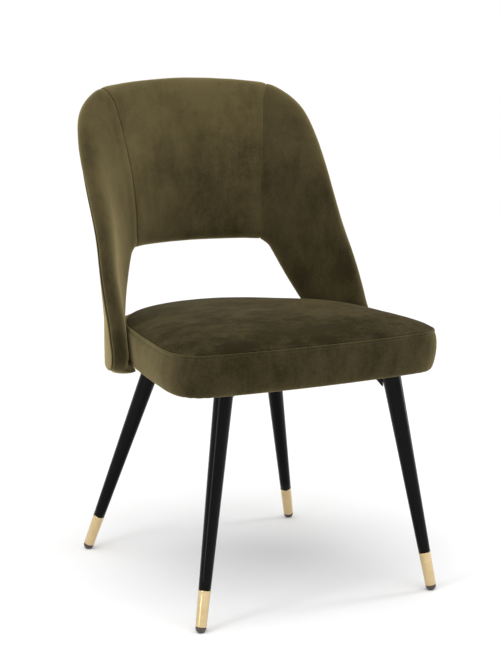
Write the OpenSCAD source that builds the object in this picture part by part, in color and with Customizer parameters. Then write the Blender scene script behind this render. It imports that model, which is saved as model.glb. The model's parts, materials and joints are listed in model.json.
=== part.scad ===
// Upholstered dining chair: a padded shell back with an open lower part, a boxed seat cushion
// and four splayed steel legs with brass ferrules, carried by a welded cross frame.
// Millimetres. Z up, the floor at z = 0, the front of the chair towards -Y.

/* [Seat] */
// Height of the sewn top edge of the seat
seam_z = 458; // [450:1:462]
// Height of the underside of the seat
seat_bottom_z = 388; // [384:1:392]
// How far the seat crown stands above its sewn edge
crown_h = 16; // [12:1:24]
// Half of the seat's width at the front
seat_half_w = 250; // [242:1:254]
// Front edge of the seat, measured forward from the frame's origin line
seat_front = 222; // [200:1:226]
// Plan radius of the front corners
corner_r = 54; // [32:1:60]

/* [Back] */
// Height of the top of the back
back_top_z = 866; // [850:1:880]
// Thickness of the padded shell above the seat
shell_t = 32; // [28:1:36]
// Thickness of the padded shell beside the seat
shell_low_t = 31; // [26:1:34]
// Height of the lowest edge of the shell, under the rear of the seat
shell_bottom_z = 377; // [372:1:384]
// Half of the outer width of the shell at seat level
wing_half_w = 266; // [260:1:270]
// Distance from the origin line to the outer face of the back
back_depth = 304; // [295:1:310]
// Radius of the upper corners of the back, seen from the front
top_corner_r = 88; // [80:1:110]
// Upper edge of the opening in the back
opening_top_z = 567; // [540:1:590]

/* [Legs] */
// Outer radius of a leg at the seat
leg_top_r = 16.5; // [14:0.5:18]
// Outer radius of a leg at the floor
leg_foot_r = 9.1; // [8:0.1:11]
// Length of the brass ferrule
ferrule_len = 62; // [40:1:80]
// Half of the distance between the front feet
front_foot_x = 225; // [210:1:235]
// Half of the distance between the rear feet
rear_foot_x = 216; // [200:1:230]
// Front feet, forward of the origin line
front_foot_y = 212; // [200:1:225]
// Rear feet, behind the origin line
rear_foot_y = 284; // [270:1:300]

/* [Hidden] */

// The model is drawn from a line under the seat and moved so that its box is centred on the origin.
y_shift = -54.8;

olive = [0.33, 0.29, 0.19];
felt_black = [0.07, 0.07, 0.07];
foam_yellow = [0.87, 0.82, 0.62];
birch = [0.76, 0.62, 0.43];
frame_black = [0.03, 0.03, 0.03];
steel = [0.62, 0.63, 0.65];
brass_gold = [0.86, 0.70, 0.40];
glide_grey = [0.25, 0.22, 0.20];

cloth_t = 1.5;      // velvet with its backing
board_t = 12;       // plywood under the seat
ply_t = 9;          // moulded plywood in the back
foam_out_t = 4;     // wadding behind the plywood
hem_w = 26;         // velvet turned under the seat
lift = 0.4;         // gap kept between soft parts that touch

// ---------- points and polylines ----------
function mix(a, b, k) = a + (b - a) * k;
function clamp01(v) = min(1, max(0, v));
function dist(p) = norm(p);
function arc2(c, r, a0, a1, n) = [for (i = [0:n]) let (a = a0 + (a1 - a0) * i / n) c + r * [cos(a), sin(a)]];
function sums(p, i = 0, acc = 0, out = [0]) =
    i >= len(p) - 1 ? out
    : let (s = acc + dist(p[i + 1] - p[i])) sums(p, i + 1, s, concat(out, [s]));
function seg_of(s, l, i = 0) = (i >= len(s) - 2 || s[i + 1] >= l) ? i : seg_of(s, l, i + 1);
function at_len(p, s, l) = let (i = seg_of(s, l)) mix(p[i], p[i + 1], clamp01((l - s[i]) / max(1e-6, s[i + 1] - s[i])));
// n + 1 points evenly spaced along a polyline
function resample(p, n) = let (s = sums(p), total = s[len(s) - 1]) [for (i = [0:n]) at_len(p, s, total * i / n)];

// ---------- the surface that the outer face of the back follows ----------
// At each height the outer face is an ellipse seen from above: its half-width grows quickly above
// the seat, so that the back opens out and flattens towards the top.
wing_z = 466;           // where wing_half_w is stated
flare_z = 580;          // the back starts to open out here
flare_power = 1.95;
flare_gain = 0.00345;
wing_spread = 0.085;     // and widens by this for each unit of height above it
lean_z = 700;           // the top of the back leans away above this height
lean_reach = 32;
function half_w(z) = wing_half_w + wing_spread * max(0, z - wing_z) + flare_gain * pow(max(0, z - flare_z), flare_power);
function depth_y(z) = back_depth + lean_reach * pow(clamp01((z - lean_z) / 170), 1.5);
function outer(q) = [half_w(q[1]) * sin(q[0]), depth_y(q[1]) * cos(q[0]), q[1]];
step = 0.25;
function unit(v) = v / norm(v);
function outward(q) = unit(cross(outer(q + [0, step]) - outer(q - [0, step]), outer(q + [step, 0]) - outer(q - [step, 0])));
// The padding is thinner where the wings squeeze the sides of the seat.
squeeze_from = 62;      // degrees round the shell
function thick(q) = mix(shell_low_t, shell_t, max(clamp01((q[1] - wing_z) / 80), clamp01((squeeze_from - abs(q[0])) / 25)));

// ---------- outlines of the back, as angle round the shell and height ----------
rim_reach = 13;         // the padding rolls this far past the outline at the rim
hole_reach = 16;        // and this far at the opening
corner_seam_z = 795;    // where the upper corner's round begins
corner_turn = 28;       // the wing's lean there, in degrees
rim_y = 77;             // the rim's place at wing_z, behind the origin line
rim_sweep = 0.5;        // and how it moves back for each unit of height, ever faster
rim_curl = 0.00025;
mm_per_degree = 5.3;
function rim_angle(z) = let (h = z - wing_z) acos((rim_y + rim_sweep * h + rim_curl * h * h) / depth_y(z));
function angle_of_x(x, z) = asin(x / half_w(z));
corner_x = half_w(corner_seam_z) * sin(rim_angle(corner_seam_z)) - top_corner_r * cos(corner_turn);
corner_z = corner_seam_z - top_corner_r * sin(corner_turn);
crest_turn = 83.5;      // the corner's round meets the crest's curve at this angle
crest_x = corner_x + top_corner_r * cos(crest_turn);
crest_z = corner_z + top_corner_r * sin(crest_turn);
crest_rise = back_top_z - rim_reach - crest_z;
low_corner_r = 22;
rim_bottom = shell_bottom_z + rim_reach;
rim_top_pts = [for (i = [0:6]) let (x = crest_x * i / 6, z = crest_z + crest_rise * (1 - pow(i / 6, 2)))
    [angle_of_x(x, z), z]];
rim_seam_turn = 73.5;   // the seam between the centre and a wing meets the rim's corner here
function rim_corner(t) = let (z = corner_z + top_corner_r * sin(t)) [angle_of_x(corner_x + top_corner_r * cos(t), z), z];
rim_side_pts = [for (z = [780:-35:430]) [rim_angle(z), z]];
low_corner_z = rim_bottom + low_corner_r;
rim_low_pts = [for (t = [0:-18:-90])
    [rim_angle(low_corner_z) + low_corner_r * (cos(t) - 1) / mm_per_degree, low_corner_z + low_corner_r * sin(t)]];
rim_band_pts = [for (k = [1:4]) [rim_low_pts[5][0] * (1 - k / 4), rim_bottom]];

opening_side_x = 166 + hole_reach * 1.07;   // the opening's side at wing_z
opening_lean = 0.38;                        // it closes in by this for each unit of height
opening_corner_r = 20 + hole_reach;
opening_low_z = 430;
hole_top = opening_top_z + hole_reach;
hole_turn = atan(opening_lean);
hole_corner_z = hole_top - opening_corner_r;
function hole_x(z) = opening_side_x - opening_lean * (z - wing_z);
hole_corner_x = hole_x(hole_corner_z) - opening_corner_r / cos(hole_turn);
function inner_angle(x, z) = asin(x / (half_w(z) - shell_t));
hole_top_pts = [for (k = [0:3]) [inner_angle(hole_corner_x * k / 3, hole_top), hole_top]];
hole_seam_turn = 68.5;
function hole_corner(t) = let (z = hole_corner_z + opening_corner_r * sin(t))
    [inner_angle(hole_corner_x + opening_corner_r * cos(t), z), z];
hole_side_pts = [for (z = [540:-20:460]) [inner_angle(hole_x(z), z), z]];
hole_low_r = 22;
hole_low_z = opening_low_z + hole_low_r;
hole_low_pts = [for (t = [0:-22.5:-90])
    [inner_angle(hole_x(hole_low_z), hole_low_z) + hole_low_r * (cos(t) - 1) / mm_per_degree,
     hole_low_z + hole_low_r * sin(t)]];
hole_band_pts = [for (k = [1:4]) [hole_low_pts[4][0] * (1 - k / 4), opening_low_z]];

// Points are spaced evenly along an outline as it lies on the shell, in millimetres.
function flat(q) = [q[0] * mm_per_degree, q[1]];
function unflat(q) = [q[0] / mm_per_degree, q[1]];
function spaced(p, n) = [for (q = resample([for (v = p) flat(v)], n)) unflat(q)];
// Stations run from the top middle over the right wing to the bottom middle, then mirror back.
n_centre = 8;
n_wing = 24;
n_band = 8;
function tail(v) = [for (i = [1:len(v) - 1]) v[i]];
function stations(a, b, c) = concat(spaced(a, n_centre), tail(spaced(b, n_wing)), tail(spaced(c, n_band)));
function turns(a, b, n) = [for (k = [0:n]) mix(a, b, k / n)];
rim_line = stations(
    concat(rim_top_pts, [for (t = turns(crest_turn - 2, rim_seam_turn, 3)) rim_corner(t)]),
    concat([for (t = turns(rim_seam_turn, corner_turn, 6)) rim_corner(t)], rim_side_pts),
    concat([rim_side_pts[10]], rim_low_pts, rim_band_pts));
hole_line = stations(
    concat(hole_top_pts, [for (t = turns(85, hole_seam_turn, 3)) hole_corner(t)]),
    concat([for (t = turns(hole_seam_turn, hole_turn, 6)) hole_corner(t)], hole_side_pts),
    concat([hole_side_pts[4]], hole_low_pts, hole_band_pts));
n_half = n_centre + n_wing + n_band;
n_all = 2 * n_half;
function flip(q) = [-q[0], q[1]];
function rim_at(i) = i <= n_half ? rim_line[i] : flip(rim_line[n_all - i]);
function hole_at(i) = i <= n_half ? hole_line[i] : flip(hole_line[n_all - i]);

// A point of the shell at station i. s runs 0 to 1 across the band from the opening to the rim.
// The depth is measured inward from the outer face; a soft layer's depth follows the padding's
// thickness. end is -1 or 1 on the rolled edges, where a layer stops inset short of the cover.
function shell_pt(i, c) =
    let (s = c[0], soft = c[2], end = c[3], inset = c[4],
         o = hole_at(i), r = rim_at(i), q = mix(o, r, s),
         t = thick(q), d = c[1] + soft * (t - shell_t), rad = t / 2,
         edge = [for (k = [1, n_all - 1]) let (j = (i + k) % n_all) outer(end < 0 ? hole_at(j) : rim_at(j))],
         along = unit(cross(edge[0] - edge[1], outward(q))),
         reach = (end < 0 ? hole_reach : rim_reach) / rad,
         out = end * reach * sqrt(max(0, pow(rad - inset, 2) - pow(d - rad, 2))))
    outer(q) - d * outward(q) + out * along;
across = [0, 0.2, 0.4, 0.6, 0.8, 1];
function end_of(s) = s == 0 ? -1 : s == 1 ? 1 : 0;
function layer_section(d0, k0, d1, k1, inset) = concat(
    [for (s = across) [s, d0, k0, end_of(s), inset]],
    [[1, (d0 + d1) / 2, (k0 + k1) / 2, 1, inset]],
    [for (k = [len(across) - 1:-1:0]) [across[k], d1, k1, end_of(across[k]), inset]],
    [[0, (d0 + d1) / 2, (k0 + k1) / 2, -1, inset]]);

// Sweeps a closed section from station i0 to i1, as a ring when it goes all the way round
module sweep_section(section, i0, i1) {
    m = len(section);
    whole = i1 - i0 == n_all;
    count = whole ? n_all : i1 - i0 + 1;
    pts = [for (i = [i0:i0 + count - 1]) for (c = section) shell_pt(i % n_all, c)];
    last = whole ? count : count - 1;
    quads = [for (i = [0:last - 1]) for (j = [0:m - 1])
        let (a = i * m + j, b = i * m + (j + 1) % m,
             c = ((i + 1) % count) * m + (j + 1) % m, d = ((i + 1) % count) * m + j)
        each [[a, c, b], [a, d, c]]];
    // A section's second half runs back along its first, so an end closes as a strip between them.
    end = (count - 1) * m;
    caps = whole ? [] : [for (j = [0:m / 2 - 2]) each [
        [j, j + 1, m - 2 - j], [j, m - 2 - j, m - 1 - j],
        [end + j, end + m - 2 - j, end + j + 1], [end + j, end + m - 1 - j, end + m - 2 - j]]];
    polyhedron(points = pts, faces = concat(quads, caps));
}
module layer(d0, k0, d1, k1, inset) { sweep_section(layer_section(d0, k0, d1, k1, inset), 0, n_all); }

// ---------- the back, from the outer face inward ----------
d_wadding = cloth_t;
d_ply = d_wadding + foam_out_t;
d_foam = d_ply + ply_t;
d_lining = shell_t - cloth_t;
module back_cover_outer() { color(olive) layer(0, 0, d_wadding, 0, 0); }
module back_foam_outer() { color(foam_yellow) layer(d_wadding, 0, d_ply, 0, cloth_t + 0.5); }
module back_ply() { color(birch) layer(d_ply, 0, d_foam, 0, 4); }
module back_foam_inner() { color(foam_yellow) layer(d_foam, 0, d_lining - 0.1, 1, cloth_t); }

// The inner cover rolls over the rim and over the opening's edge to meet the outer cover.
roll_steps = 5;
roll_turn = 150;        // degrees
function reversed(v) = [for (k = [len(v) - 1:-1:0]) v[k]];
function rolled(inset, end) = [for (k = [0:roll_steps])
    let (a = 90 - roll_turn * k / roll_steps, rad = shell_t / 2 - inset)
    [end > 0 ? 1 : 0, shell_t / 2 + rad * sin(a), 0.5 + 0.5 * sin(a), end, inset]];
lining_across = [0.25, 0.5, 0.75];
cover_section = reversed(concat(
    reversed(rolled(0, -1)),
    [for (s = lining_across) [s, shell_t, 1, 0, 0]],
    rolled(0, 1),
    reversed(rolled(cloth_t - 0.2, 1)),
    [for (s = reversed(lining_across)) [s, shell_t - cloth_t + 0.2, 1, 0, 0]],
    rolled(cloth_t - 0.2, -1)));
module back_cover_centre() { color(olive) sweep_section(cover_section, n_all - n_centre, n_all + n_centre); }
module back_cover_wing_right() { color(olive) sweep_section(cover_section, n_centre, n_half); }
module back_cover_wing_left() { color(olive) sweep_section(cover_section, n_half, n_all - n_centre); }

// Wood screws from the plywood of the back into the seat board's edge
screw_angles = [-55, -20, 20, 55];
screw_z = seat_bottom_z + cloth_t + board_t / 2;
screw_len = 34;
module shell_screws() {
    color(steel) for (a = screw_angles) {
        q = [a, screw_z];
        d = outward(q);
        translate(outer(q) - d_ply * d) rotate([0, 0, atan2(d[1], d[0])]) rotate([0, -90, 0]) {
            cylinder(r = 1.9, h = screw_len, $fn = 24);
            cylinder(r1 = 4, r2 = 1.9, h = 3, $fn = 24);
        }
    }
}

// ---------- the seat ----------
rear_gap = 0.5;             // between the seat and the shell that holds it
front_bow = 0.0003;         // the front edge curves back by this times the square of x
undercut = 7;               // the seat's underside is smaller than its sewn edge by this
rear_from = 73;             // the shell takes hold of the seat at this angle
function rear_pt(a) = let (q = [a, seam_z], p = outer(q) - (thick(q) + rear_gap) * outward(q)) [p[0], p[1]];
// Right half of the plan outline at the sewn edge, from the front middle to the rear middle
seat_half = concat(
    [for (k = [0:5]) let (x = (seat_half_w - corner_r) * k / 5) [x, -seat_front + front_bow * x * x]],
    [for (t = [-75:15:-15]) let (x = seat_half_w - corner_r) [x, -seat_front + front_bow * x * x + corner_r]
        + corner_r * [cos(t), sin(t)]],
    [for (k = [0:4]) mix([seat_half_w, -130], rear_pt(rear_from), k / 4)],
    [for (t = [rear_from - 6:-6:1]) rear_pt(t)],
    [rear_pt(0)]);
n_plan = 40;
seat_line = let (h = resample(seat_half, n_plan)) concat(h, [for (k = [n_plan - 1:-1:1]) [-h[k][0], h[k][1]]]);
n_seat = len(seat_line);
function seat_dir(k) = unit(seat_line[(k + 1) % n_seat] - seat_line[(k + n_seat - 1) % n_seat]);
// The plan outline drawn in by an inset
function seat_outline(inset) = [for (k = [0:n_seat - 1]) let (d = seat_dir(k)) seat_line[k] + inset * [-d[1], d[0]]];
function ring3(inset, z) = [for (p = seat_outline(inset)) [p[0], p[1], z]];
function ring_faces(rows, closed = false) = [for (k = [0:rows - (closed ? 1 : 2)]) for (j = [0:n_seat - 1])
    let (a = k * n_seat + j, b = k * n_seat + (j + 1) % n_seat, u = ((k + 1) % rows) * n_seat)
    each [[a, u + j, u + (j + 1) % n_seat], [a, u + (j + 1) % n_seat, b]]];
module seat_slab(z0, h, inset) {
    translate([0, 0, z0]) linear_extrude(height = h) polygon(seat_outline(inset));
}

// Rings that close in towards the crown
dome_rings = 7;
dome_centre = [0, -20];
function dome_rows(inset, z_edge, rise) = [for (k = [0:dome_rings - 1])
    let (a = 90 * k / dome_rings, m = pow(cos(a), 0.5))
    each [for (p = seat_outline(inset)) let (c = mix(dome_centre, p, m)) [c[0], c[1], z_edge + rise * pow(sin(a), 1.1)]]];
function crown_pt(z) = [[dome_centre[0], dome_centre[1], z]];
function fan_faces(row, tip) = [for (j = [0:n_seat - 1]) [row * n_seat + j, tip, row * n_seat + (j + 1) % n_seat]];

board_z = seat_bottom_z + cloth_t;
module seat_board() {
    color(birch) difference() {
        seat_slab(board_z + 0.1, board_t, undercut + cloth_t + 0.3);
        for (p = bolt_places) translate([p[0], p[1], board_z - 1]) cylinder(r = 4.4, h = board_t + 2, $fn = 32);
        for (p = bolt_places) translate([p[0], p[1], board_z + board_t - 0.9]) cylinder(r = 10.2, h = 2, $fn = 48);
    }
}
foam_low_z = board_z + board_t + 0.4;
foam_edge_z = seam_z - cloth_t - lift;
module seat_foam() {
    color(foam_yellow) {
        rows = dome_rings + 1;
        pts = concat(ring3(undercut + cloth_t, foam_low_z), dome_rows(cloth_t + lift, foam_edge_z, crown_h),
                     crown_pt(foam_edge_z + crown_h));
        polyhedron(points = pts, faces = concat(
            ring_faces(rows), fan_faces(rows - 1, rows * n_seat), [[for (j = [0:n_seat - 1]) j]]));
    }
}
// A crowned sheet lying on the foam
module seat_top_panel() {
    color(olive) {
        upper = concat(dome_rows(0.2, seam_z, crown_h), crown_pt(seam_z + crown_h));
        lower = concat(dome_rows(cloth_t, seam_z - cloth_t, crown_h), crown_pt(seam_z - cloth_t + crown_h));
        base = len(upper);
        up = concat(ring_faces(dome_rings), fan_faces(dome_rings - 1, dome_rings * n_seat));
        down = [for (f = up) [f[2] + base, f[1] + base, f[0] + base]];
        skirt = [for (j = [0:n_seat - 1]) let (b = (j + 1) % n_seat) each [[j, b, b + base], [j, b + base, j + base]]];
        polyhedron(points = concat(upper, lower), faces = concat(up, down, skirt));
    }
}
// The boxing: up the sides, with a hem turned under the board
module seat_side_band() {
    top = seam_z - cloth_t - 0.2;
    rows = [[hem_w, seat_bottom_z], [undercut + 3, seat_bottom_z], [undercut, seat_bottom_z + 3], [0, top],
            [cloth_t - 0.2, top], [undercut + cloth_t - 0.2, seat_bottom_z + 3 + cloth_t],
            [undercut + 3 + cloth_t, seat_bottom_z + cloth_t - 0.1], [hem_w, seat_bottom_z + cloth_t - 0.1]];
    color(olive) polyhedron(points = [for (r = rows) each ring3(r[0], r[1])], faces = ring_faces(len(rows), true));
}
felt_t = 0.8;
felt_inset = hem_w - 10;
module dust_cover() {
    color(felt_black) difference() {
        seat_slab(seat_bottom_z - felt_t, felt_t, felt_inset);
        for (p = bolt_places) translate([p[0], p[1], seat_bottom_z - 2]) cylinder(r = 4, h = 4, $fn = 24);
    }
}
staple_step = 3;
staple_w = 10;
staple_wire = 0.8;
module dust_cover_staples() {
    line = seat_outline(felt_inset + 4);
    color(steel) for (k = [0:staple_step:len(line) - 1]) {
        d = seat_dir(k);
        translate([line[k][0], line[k][1], seat_bottom_z - felt_t - staple_wire])
            rotate([0, 0, atan2(d[1], d[0])]) translate([-staple_w / 2, -staple_wire / 2, 0]) {
                cube([staple_w, staple_wire, staple_wire]);
                for (x = [0, staple_w - staple_wire]) translate([x, 0, 0])
                    cube([staple_wire, staple_wire, staple_wire + felt_t + 5]);
            }
    }
}

// ---------- the legs ----------
sides = [[-1, -1], [1, -1], [-1, 1], [1, 1]];
leg_top_z = seat_bottom_z - felt_t;
// How far a leg moves in for each unit of height
front_lean = [0.168, 0.106];
rear_lean = [0.261, 0.271];
glide_flat_r = 4;
glide_r = leg_foot_r;
glide_z = sqrt(glide_r * glide_r - glide_flat_r * glide_flat_r);
function leg_foot(i) = sides[i][1] < 0
    ? [sides[i][0] * front_foot_x, -front_foot_y, 0]
    : [sides[i][0] * rear_foot_x, rear_foot_y, 0];
function leg_dir(i) = let (l = sides[i][1] < 0 ? front_lean : rear_lean)
    unit([-sides[i][0] * l[0], -sides[i][1] * l[1], 1]);
// Point of a leg's axis at height z
function leg_at(i, z) = let (d = leg_dir(i)) leg_foot(i) + d * (z / d[2]);
leg_len = leg_top_z * 1.12;
module along_leg(i) {
    d = leg_dir(i);
    translate(leg_at(i, glide_z)) rotate([0, acos(d[2]), atan2(d[1], d[0])]) children();
}
module below(z) {
    intersection() {
        children();
        translate([-500, -500, -50]) cube([1000, 1000, z + 50]);
    }
}
// Outer radius of a leg at a distance up its axis
function leg_r(l) = mix(leg_foot_r, leg_top_r, clamp01(l / (leg_top_z * 1.06)));
tube_wall = 1.6;
ferrule_wall = 1;
leg_plug = 62;          // the solid top of a leg, which the frame is welded to
ferrule_start = 1.2;
module cone(l0, l1, shrink) { translate([0, 0, l0]) cylinder(r1 = leg_r(l0) - shrink, r2 = leg_r(l1) - shrink, h = l1 - l0, $fn = 64); }
// The same taper drawn up from a circle, for the tube that is cut off level under the seat
module taper(l0, l1, shrink) {
    translate([0, 0, l0]) linear_extrude(height = l1 - l0, scale = (leg_r(l1) - shrink) / (leg_r(l0) - shrink))
        circle(r = leg_r(l0) - shrink, $fn = 64);
}
cap_t = 3;
module leg_tube(i) {
    color(frame_black) below(leg_top_z - cap_t) along_leg(i) difference() {
        union() {
            taper(ferrule_start + 6, ferrule_len + 0.2, ferrule_wall + 0.1);
            taper(ferrule_len + 0.2, leg_len, 0);
        }
        taper(ferrule_start, leg_len - leg_plug, ferrule_wall + tube_wall + 0.1);
    }
}
module leg_cap(i) {
    p = leg_at(i, leg_top_z - cap_t);
    color(frame_black) translate([p[0], p[1], leg_top_z - cap_t]) cylinder(r = leg_top_r + 1.2, h = cap_t, $fn = 64);
}
module ferrule(i) {
    color(brass_gold) along_leg(i) difference() {
        cone(ferrule_start, ferrule_len, 0);
        cone(ferrule_start - 1, ferrule_len + 1, ferrule_wall);
    }
}
glide_stem = 24;
module glide(i) {
    color(glide_grey) intersection() {
        along_leg(i) {
            difference() {
                sphere(r = glide_r, $fn = 64);
                translate([0, 0, ferrule_start - 0.1]) cylinder(r = 20, h = 20, $fn = 32);
            }
            cylinder(r = leg_foot_r - ferrule_wall - tube_wall - 0.3, h = glide_stem, $fn = 48);
        }
        translate([-500, -500, 0]) cube([1000, 1000, 200]);
    }
}

// ---------- the cross frame ----------
bar_w = 26;
bar_h = 12.5;
bar_wall = 1.5;
bar_top_z = leg_top_z - 0.1;
bolt_at = 0.62;                // bolts sit this far from the crossing to a leg
function leg_xy(i) = let (p = leg_at(i, leg_top_z - bar_h / 2)) [p[0], p[1]];
function crossing(a, b, c, d) =
    let (u = b - a, v = d - c, w = c - a, k = (w[0] * v[1] - w[1] * v[0]) / (u[0] * v[1] - u[1] * v[0])) a + k * u;
frame_centre = crossing(leg_xy(0), leg_xy(3), leg_xy(1), leg_xy(2));
bolt_places = [for (i = [0:3]) mix(frame_centre, leg_xy(i), bolt_at)];
// A hollow bar from a to b, short of each by its trim
module bar(a, b, trim_a, trim_b) {
    d = b - a;
    l = norm(d) - trim_a - trim_b;
    translate([a[0], a[1], bar_top_z - bar_h]) rotate([0, 0, atan2(d[1], d[0])]) translate([trim_a, -bar_w / 2, 0])
        difference() {
            cube([l, bar_w, bar_h]);
            translate([-1, bar_wall, bar_wall]) cube([l + 2, bar_w - 2 * bar_wall, bar_h - 2 * bar_wall]);
        }
}
module bolt_holes() {
    for (p = bolt_places) translate([p[0], p[1], bar_top_z - bar_h - 1]) cylinder(r = 3.4, h = bar_h + 2, $fn = 32);
}
weld_trim = leg_top_r + 0.6;
module cross_bar_main() {
    color(frame_black) difference() { bar(leg_xy(1), leg_xy(2), weld_trim, weld_trim); bolt_holes(); }
}
half_trim = bar_w / 2 + 4.2;
module cross_bar_front_half() {
    color(frame_black) difference() { bar(leg_xy(0), frame_centre, weld_trim, half_trim); bolt_holes(); }
}
module cross_bar_rear_half() {
    color(frame_black) difference() { bar(frame_centre, leg_xy(3), half_trim, weld_trim); bolt_holes(); }
}
gusset = 14;
gusset_t = 4;
module frame_gussets() {
    color(frame_black) for (i = [0:3]) {
        low = leg_at(i, bar_top_z - bar_h - gusset / 2);
        d = frame_centre - leg_xy(i);
        translate([low[0], low[1], bar_top_z - bar_h - 0.1]) rotate([0, 0, atan2(d[1], d[0])])
            translate([leg_top_r + 1.5, gusset_t / 2, 0]) rotate([90, 0, 0])
                linear_extrude(height = gusset_t) polygon([[0, 0], [gusset, 0], [0, -gusset]]);
    }
}
bolt_r = 3;
head_h = 3.2;
washer_t = 1.2;
module at_bolts(z) { for (p = bolt_places) translate([p[0], p[1], z]) children(); }
under_bar = bar_top_z - bar_h;
module frame_bolts() {
    color(steel) at_bolts(under_bar - washer_t - head_h) difference() {
        union() {
            cylinder(r = 5.6, h = head_h, $fn = 48);
            cylinder(r = bolt_r, h = head_h + washer_t + bar_h + felt_t + board_t + 1, $fn = 32);
        }
        translate([0, 0, -1]) cylinder(r = 2.3, h = 3, $fn = 6);
    }
}
module frame_washers() {
    color(steel) at_bolts(under_bar - washer_t) difference() {
        cylinder(r = 8, h = washer_t, $fn = 48);
        translate([0, 0, -1]) cylinder(r = bolt_r + 0.2, h = 4, $fn = 32);
    }
}
module tee_nuts() {
    color(steel) at_bolts(board_z + 3) difference() {
        union() {
            cylinder(r = 4.3, h = board_t - 3, $fn = 32);
            translate([0, 0, board_t - 3]) cylinder(r = 10, h = 0.9, $fn = 48);
        }
        translate([0, 0, -1]) cylinder(r = bolt_r + 0.1, h = board_t + 4, $fn = 32);
    }
}

module in_frame() { translate([0, y_shift, 0]) children(); }

in_frame() seat_board();
in_frame() seat_foam();
in_frame() seat_top_panel();
in_frame() seat_side_band();
in_frame() dust_cover();
in_frame() dust_cover_staples();
in_frame() back_ply();
in_frame() back_foam_inner();
in_frame() back_foam_outer();
in_frame() back_cover_centre();
in_frame() back_cover_wing_left();
in_frame() back_cover_wing_right();
in_frame() back_cover_outer();
in_frame() shell_screws();
in_frame() cross_bar_main();
in_frame() cross_bar_front_half();
in_frame() cross_bar_rear_half();
in_frame() frame_gussets();
in_frame() frame_bolts();
in_frame() frame_washers();
in_frame() tee_nuts();
in_frame() leg_tube(0);  // leg_tube_front_left
in_frame() leg_tube(1);  // leg_tube_front_right
in_frame() leg_tube(2);  // leg_tube_rear_left
in_frame() leg_tube(3);  // leg_tube_rear_right
in_frame() leg_cap(0);  // leg_cap_front_left
in_frame() leg_cap(1);  // leg_cap_front_right
in_frame() leg_cap(2);  // leg_cap_rear_left
in_frame() leg_cap(3);  // leg_cap_rear_right
in_frame() ferrule(0);  // ferrule_front_left
in_frame() ferrule(1);  // ferrule_front_right
in_frame() ferrule(2);  // ferrule_rear_left
in_frame() ferrule(3);  // ferrule_rear_right
in_frame() glide(0);  // glide_front_left
in_frame() glide(1);  // glide_front_right
in_frame() glide(2);  // glide_rear_left
in_frame() glide(3);  // glide_rear_right
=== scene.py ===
"""Looks of the upholstered dining chair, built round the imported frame.

Shapes are worked out in millimetres from the same driving sizes as the CAD part and turned into
metres when a mesh is made. The chair's middle plane is x = 0 and its front is towards -Y.
"""

import json
import math

import bpy
import numpy as np
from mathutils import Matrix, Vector, noise


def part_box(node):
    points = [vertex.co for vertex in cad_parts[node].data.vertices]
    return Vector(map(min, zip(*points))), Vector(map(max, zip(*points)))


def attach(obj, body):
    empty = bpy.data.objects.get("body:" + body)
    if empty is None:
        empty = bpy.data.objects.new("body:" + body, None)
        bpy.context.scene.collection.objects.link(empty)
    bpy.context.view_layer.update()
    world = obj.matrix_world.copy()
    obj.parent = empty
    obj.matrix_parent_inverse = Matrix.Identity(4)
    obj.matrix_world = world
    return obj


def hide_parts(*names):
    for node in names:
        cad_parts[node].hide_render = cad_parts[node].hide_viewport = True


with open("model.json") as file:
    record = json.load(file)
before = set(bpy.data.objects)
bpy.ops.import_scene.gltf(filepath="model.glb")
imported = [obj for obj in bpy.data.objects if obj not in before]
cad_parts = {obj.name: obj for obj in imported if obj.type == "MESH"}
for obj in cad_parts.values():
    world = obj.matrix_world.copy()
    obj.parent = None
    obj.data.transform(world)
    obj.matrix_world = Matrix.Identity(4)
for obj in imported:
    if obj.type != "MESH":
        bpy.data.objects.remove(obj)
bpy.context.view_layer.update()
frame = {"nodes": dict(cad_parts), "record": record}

MM = 0.001
ROOT = "root"

# ---------------------------------------------------------------- driving sizes, in millimetres
SEAM_Z = 458            # sewn top edge of the seat
CROWN_H = 17.5          # how far the seat's crown stands over the sewn edge before it is inflated
SEAT_HALF_W = 250
SEAT_FRONT = 222
SEAT_CORNER_R = 56
SHELL_T = 32
SHELL_LOW_T = 35
WING_HALF_W = 266
BACK_DEPTH = 304
SHELL_BOTTOM_Z = 377
OPENING_TOP_Z = 567
LEG_TOP_R = 16.5
LEG_FOOT_R = 9.1
FERRULE_LEN = 62
LEG_TOP_Z = 387.2
LEGS = {                # foot x and y, and how far the leg moves in for each unit of height
    "front_left": (-225, -212, 0.168, 0.106),
    "front_right": (225, -212, -0.168, 0.106),
    "rear_left": (-216, 284, 0.261, -0.271),
    "rear_right": (216, 284, -0.261, -0.271),
}
FRONT_GLIDE_Y = -211.13  # centre of a front glide, measured from the chair's origin line
# The chair is drawn from a line under the seat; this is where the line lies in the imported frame.
LINE_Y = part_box("glide_front_left")[0].y / MM - FRONT_GLIDE_Y + LEG_FOOT_R


# ---------------------------------------------------------------- mesh helpers
def make_object(name, verts, faces, material, smooth=True):
    """A mesh object from points in millimetres, drawn from the chair's origin line."""
    pts = np.array(verts, float)
    pts[:, 1] += LINE_Y
    mesh = bpy.data.meshes.new(name)
    mesh.from_pydata((pts * MM).tolist(), [], [list(map(int, f)) for f in faces])
    mesh.validate()
    mesh.update()
    mesh.polygons.foreach_set("use_smooth", [smooth] * len(mesh.polygons))
    mesh.materials.append(material)
    obj = bpy.data.objects.new(name, mesh)
    bpy.context.scene.collection.objects.link(obj)
    return obj


def grid_faces(rows, cols, closed_rows=False, closed_cols=False, start=0):
    """Quads of a grid of points stored row by row."""
    out = []
    for i in range(rows if closed_rows else rows - 1):
        for j in range(cols if closed_cols else cols - 1):
            a = start + i * cols + j
            b = start + i * cols + (j + 1) % cols
            c = start + ((i + 1) % rows) * cols + (j + 1) % cols
            d = start + ((i + 1) % rows) * cols + j
            out.append((a, b, c, d))
    return out


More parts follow.
